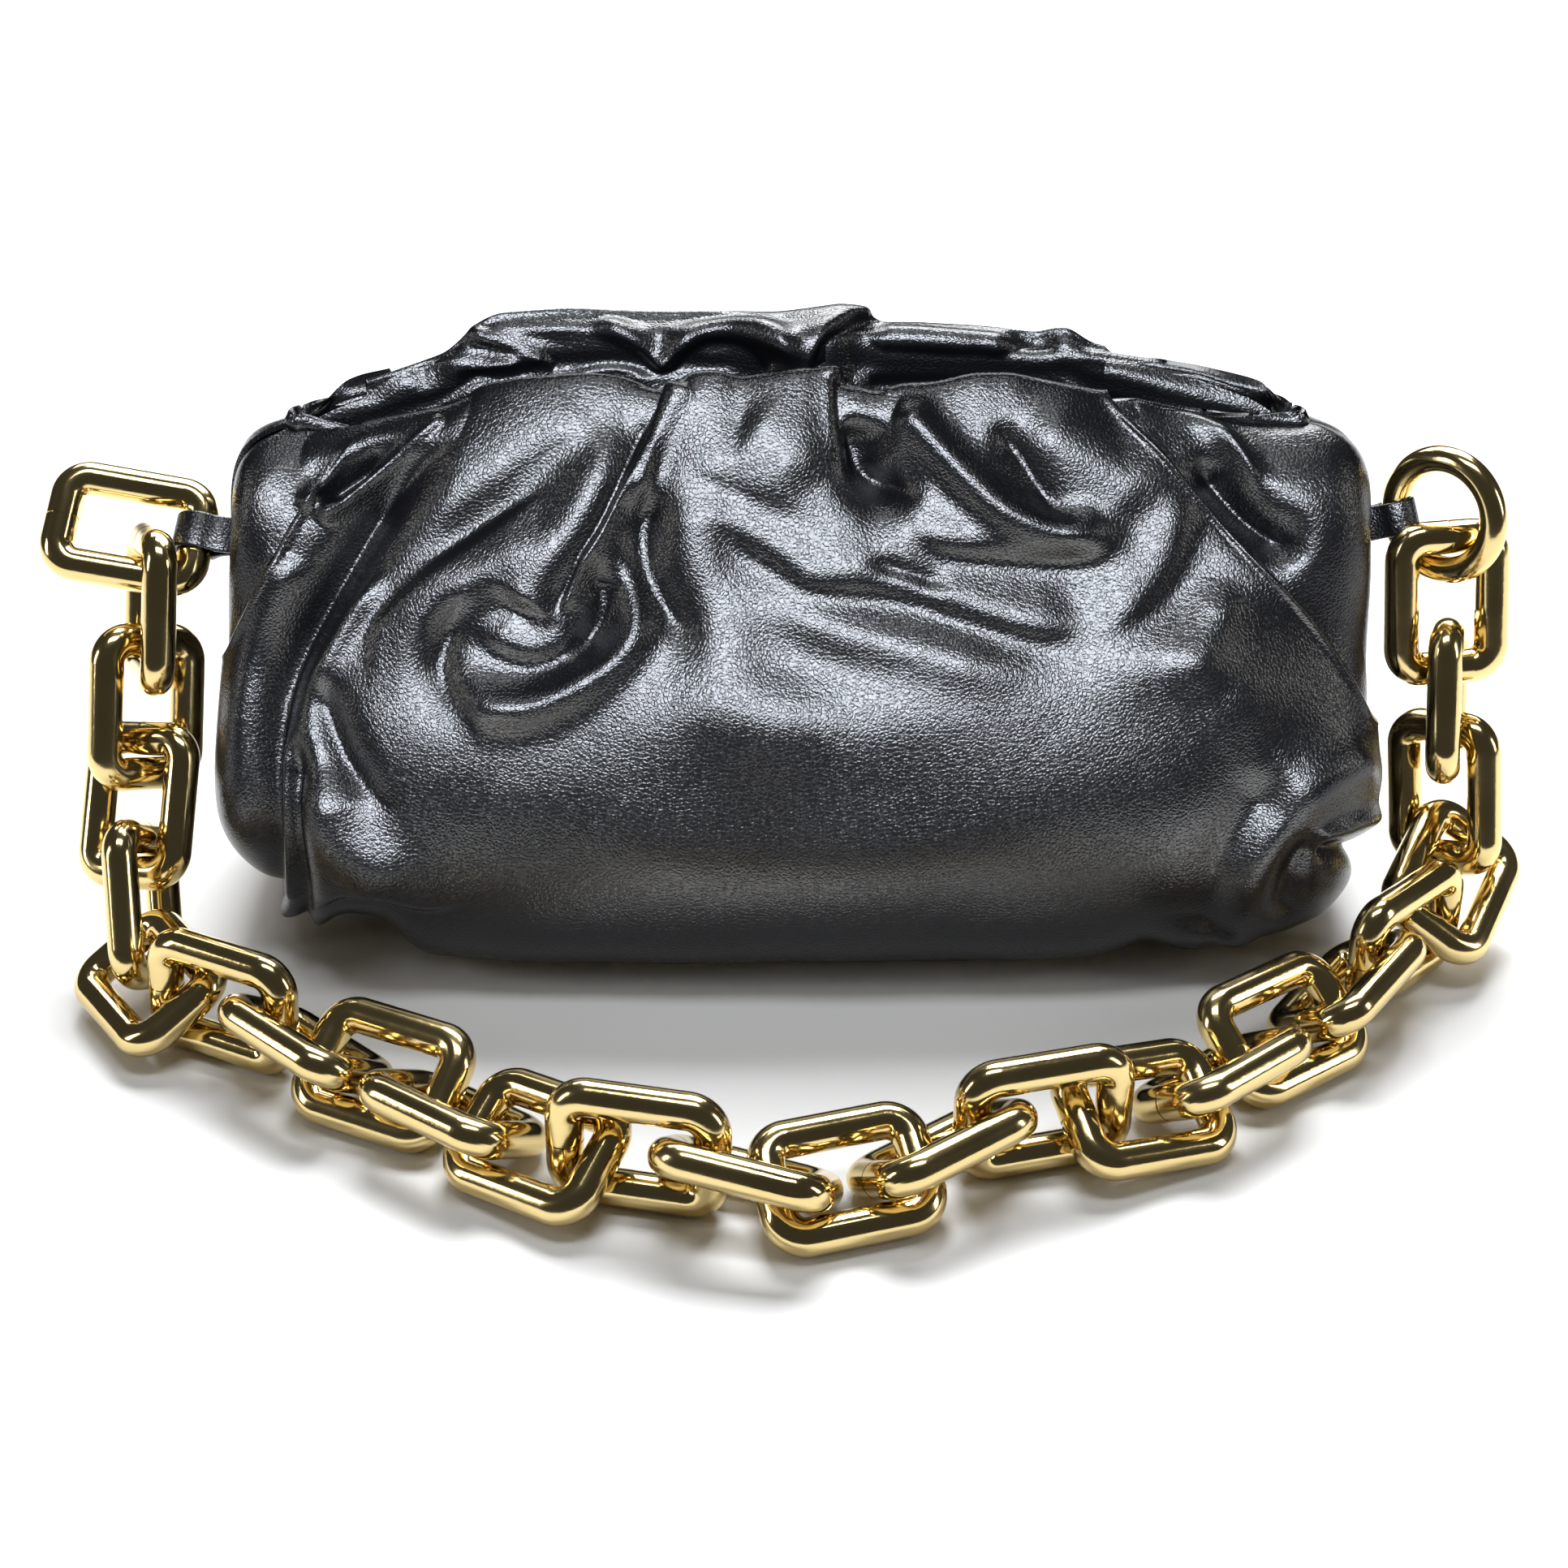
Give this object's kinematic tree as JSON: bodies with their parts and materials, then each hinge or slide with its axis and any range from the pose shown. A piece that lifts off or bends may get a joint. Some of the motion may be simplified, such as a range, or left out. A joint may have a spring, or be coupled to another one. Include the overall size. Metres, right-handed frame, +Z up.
{
  "type": "chain shoulder bag",
  "caption": "Soft gathered leather pouch with a hinged frame mouth and a heavy gold chain strap of rounded-rectangle links.",
  "frame": {"origin": "middle of the base's underside, where the bag stands", "axes": "+X to the viewer's right along the mouth, -Y out of the bag's front, +Z up"},
  "size_m": [0.3765, 0.2193, 0.1552],
  "materials": {
    "leather": "smooth soft black leather, satin sheen",
    "lining": "fine black woven lining",
    "steel": "plain hidden hardware",
    "gold": "polished pale yellow gold plating"
  },
  "bodies": {
    "bag": {"base": "leather", "front_panel": "leather", "rear_panel": "leather", "left_gusset": "leather", "right_gusset": "leather", "lining": "lining", "left_anchor": "steel", "right_anchor": "steel", "left_pin": "steel", "right_pin": "steel"},
    "front_mouth": {"front_lip": "leather", "front_frame": "steel", "front_magnet": "steel"},
    "rear_mouth": {"rear_lip": "leather", "rear_frame": "steel", "rear_magnet": "steel"},
    "left_tab": {"left_tab": "leather", "chain_link_01": "gold"},
    "right_tab": {"right_tab": "leather", "end_ring": "gold"},
    "link_02": {"chain_link_02": "gold"},
    "link_03": {"chain_link_03": "gold"},
    "link_04": {"chain_link_04": "gold"},
    "link_05": {"chain_link_05": "gold"},
    "link_06": {"chain_link_06": "gold"},
    "link_07": {"chain_link_07": "gold"},
    "link_08": {"chain_link_08": "gold"},
    "link_09": {"chain_link_09": "gold"},
    "link_10": {"chain_link_10": "gold"},
    "link_11": {"chain_link_11": "gold"},
    "link_12": {"chain_link_12": "gold"},
    "link_13": {"chain_link_13": "gold"},
    "link_14": {"chain_link_14": "gold"},
    "link_15": {"chain_link_15": "gold"},
    "link_16": {"chain_link_16": "gold"},
    "link_17": {"chain_link_17": "gold"},
    "link_18": {"chain_link_18": "gold"},
    "link_19": {"chain_link_19": "gold"},
    "link_20": {"chain_link_20": "gold"},
    "link_21": {"chain_link_21": "gold"},
    "link_22": {"chain_link_22": "gold"},
    "link_23": {"chain_link_23": "gold"},
    "link_24": {"chain_link_24": "gold"},
    "link_25": {"chain_link_25": "gold"}
  },
  "joints": [
    {"name": "mouth_front", "type": "hinge", "parent": "bag", "child": "front_mouth", "pos_m": [0, 0, 0.114], "axis": [1, 0, 0], "range_deg": [0, 34]},
    {"name": "mouth_rear", "type": "hinge", "parent": "bag", "child": "rear_mouth", "pos_m": [0, 0, 0.114], "axis": [1, 0, 0], "range_deg": [-34, 0]},
    {"name": "strap_swing", "type": "hinge", "parent": "bag", "child": "left_tab", "pos_m": [-0.15, 0.004, 0.104], "axis": [-1, 0, 0], "range_deg": [0, 150]},
    {"name": "strap_swing_right", "type": "hinge", "parent": "bag", "child": "right_tab", "pos_m": [0.15, 0.004, 0.104], "axis": [-1, 0, 0], "range_deg": [0, 150]},
    {"name": "link_02_turn", "type": "hinge", "parent": "left_tab", "child": "link_02", "pos_m": [-0.16316, -0.00355, 0.09629], "axis": [0.8563, 0.458, -0.2387], "range_deg": [-4, 7]},
    {"name": "link_03_turn", "type": "hinge", "parent": "link_02", "child": "link_03", "pos_m": [-0.16346, -0.01169, 0.07265], "axis": [0.8563, 0.458, -0.2387], "range_deg": [-13.97, 7.99]},
    {"name": "link_04_turn", "type": "hinge", "parent": "link_03", "child": "link_04", "pos_m": [-0.1654, -0.02321, 0.05053], "axis": [0.8563, 0.458, -0.2387], "range_deg": [-3.99, 6.97]},
    {"name": "link_05_turn", "type": "hinge", "parent": "link_04", "child": "link_05", "pos_m": [-0.16568, -0.03991, 0.03164], "axis": [0.3081, -0.2947, 0.9046], "range_deg": [-2, 3]},
    {"name": "link_06_turn", "type": "hinge", "parent": "link_05", "child": "link_06", "pos_m": [-0.1647, -0.05609, 0.01047], "axis": [0.3081, -0.2947, 0.9046], "range_deg": [-6.05, 4.04]},
    {"name": "link_07_turn", "type": "hinge", "parent": "link_06", "child": "link_07", "pos_m": [-0.15042, -0.07722, 0.01429], "axis": [0.3081, -0.2947, 0.9046], "range_deg": [-2.04, 3.05]},
    {"name": "link_08_turn", "type": "hinge", "parent": "link_07", "child": "link_08", "pos_m": [-0.12568, -0.08534, 0.01456], "axis": [0.4432, 0.6268, 0.6408], "range_deg": [-2, 4]},
    {"name": "link_09_turn", "type": "hinge", "parent": "link_08", "child": "link_09", "pos_m": [-0.10723, -0.09989, 0.01126], "axis": [0.4432, 0.6268, 0.6408], "range_deg": [-8.23, 4.12]},
    {"name": "link_10_turn", "type": "hinge", "parent": "link_09", "child": "link_10", "pos_m": [-0.08676, -0.1092, 0.01098], "axis": [0.4432, 0.6268, 0.6408], "range_deg": [-2.12, 4.23]},
    {"name": "link_11_turn", "type": "hinge", "parent": "link_10", "child": "link_11", "pos_m": [-0.06849, -0.12371, 0.01021], "axis": [0.2426, 0.4302, -0.8695], "range_deg": [-1, 5]},
    {"name": "link_12_turn", "type": "hinge", "parent": "link_11", "child": "link_12", "pos_m": [-0.04789, -0.13606, 0.01434], "axis": [0.2426, 0.4302, -0.8695], "range_deg": [-9.63, 1.93]},
    {"name": "link_13_turn", "type": "hinge", "parent": "link_12", "child": "link_13", "pos_m": [-0.02299, -0.13888, 0.0154], "axis": [0.2426, 0.4302, -0.8695], "range_deg": [-0.93, 4.63]},
    {"name": "link_25_turn", "type": "hinge", "parent": "right_tab", "child": "link_25", "pos_m": [0.16146, -0.00672, 0.09943], "axis": [0.3409, 0.9271, -0.1558], "range_deg": [-3, 6]},
    {"name": "link_24_turn", "type": "hinge", "parent": "link_25", "child": "link_24", "pos_m": [0.16482, -0.01122, 0.07464], "axis": [0.3409, 0.9271, -0.1558], "range_deg": [-12.06, 6.03]},
    {"name": "link_23_turn", "type": "hinge", "parent": "link_24", "child": "link_23", "pos_m": [0.16556, -0.01652, 0.05007], "axis": [0.3409, 0.9271, -0.1558], "range_deg": [-3.03, 6.06]},
    {"name": "link_22_turn", "type": "hinge", "parent": "link_23", "child": "link_22", "pos_m": [0.17047, -0.02267, 0.02382], "axis": [0.481, -0.1672, -0.8606], "range_deg": [-1, 5]},
    {"name": "link_21_turn", "type": "hinge", "parent": "link_22", "child": "link_21", "pos_m": [0.16103, -0.04449, 0.01553], "axis": [0.481, -0.1672, -0.8606], "range_deg": [-9.91, 1.99]},
    {"name": "link_20_turn", "type": "hinge", "parent": "link_21", "child": "link_20", "pos_m": [0.14195, -0.06054, 0.01523], "axis": [0.481, -0.1672, -0.8606], "range_deg": [-0.99, 4.92]},
    {"name": "link_19_turn", "type": "hinge", "parent": "link_20", "child": "link_19", "pos_m": [0.12658, -0.07952, 0.01102], "axis": [-0.3428, 0.3642, 0.8659], "range_deg": [-1, 10]},
    {"name": "link_18_turn", "type": "hinge", "parent": "link_19", "child": "link_18", "pos_m": [0.10703, -0.09432, 0.01147], "axis": [-0.3428, 0.3642, 0.8659], "range_deg": [-19.91, 2]},
    {"name": "link_17_turn", "type": "hinge", "parent": "link_18", "child": "link_17", "pos_m": [0.09011, -0.11217, 0.01031], "axis": [-0.3428, 0.3642, 0.8659], "range_deg": [-1, 9.91]},
    {"name": "link_16_turn", "type": "hinge", "parent": "link_17", "child": "link_16", "pos_m": [0.06778, -0.12127, 0.01485], "axis": [0.2437, -0.4268, -0.8709], "range_deg": [-1, 6]},
    {"name": "link_15_turn", "type": "hinge", "parent": "link_16", "child": "link_15", "pos_m": [0.04289, -0.12551, 0.01488], "axis": [0.2437, -0.4268, -0.8709], "range_deg": [-12.1, 2.02]},
    {"name": "link_14_turn", "type": "hinge", "parent": "link_15", "child": "link_14", "pos_m": [0.02267, -0.13796, 0.01041], "axis": [0.2437, -0.4268, -0.8709], "range_deg": [-1.02, 6.1]}
  ],
  "couplings": [
    {"joint": "mouth_rear", "follows": "mouth_front", "ratio": -1},
    {"joint": "strap_swing_right", "follows": "strap_swing", "ratio": 1},
    {"joint": "link_03_turn", "follows": "link_02_turn", "ratio": -1.995},
    {"joint": "link_04_turn", "follows": "link_02_turn", "ratio": 0.995},
    {"joint": "link_06_turn", "follows": "link_05_turn", "ratio": -2.014},
    {"joint": "link_07_turn", "follows": "link_05_turn", "ratio": 1.014},
    {"joint": "link_09_turn", "follows": "link_08_turn", "ratio": -2.054},
    {"joint": "link_10_turn", "follows": "link_08_turn", "ratio": 1.054},
    {"joint": "link_12_turn", "follows": "link_11_turn", "ratio": -1.924},
    {"joint": "link_13_turn", "follows": "link_11_turn", "ratio": 0.924},
    {"joint": "link_24_turn", "follows": "link_25_turn", "ratio": -2.008},
    {"joint": "link_23_turn", "follows": "link_25_turn", "ratio": 1.008},
    {"joint": "link_21_turn", "follows": "link_22_turn", "ratio": -1.981},
    {"joint": "link_20_turn", "follows": "link_22_turn", "ratio": 0.981},
    {"joint": "link_18_turn", "follows": "link_19_turn", "ratio": -1.99},
    {"joint": "link_17_turn", "follows": "link_19_turn", "ratio": 0.99},
    {"joint": "link_15_turn", "follows": "link_16_turn", "ratio": -2.015},
    {"joint": "link_14_turn", "follows": "link_16_turn", "ratio": 1.015}
  ]
}
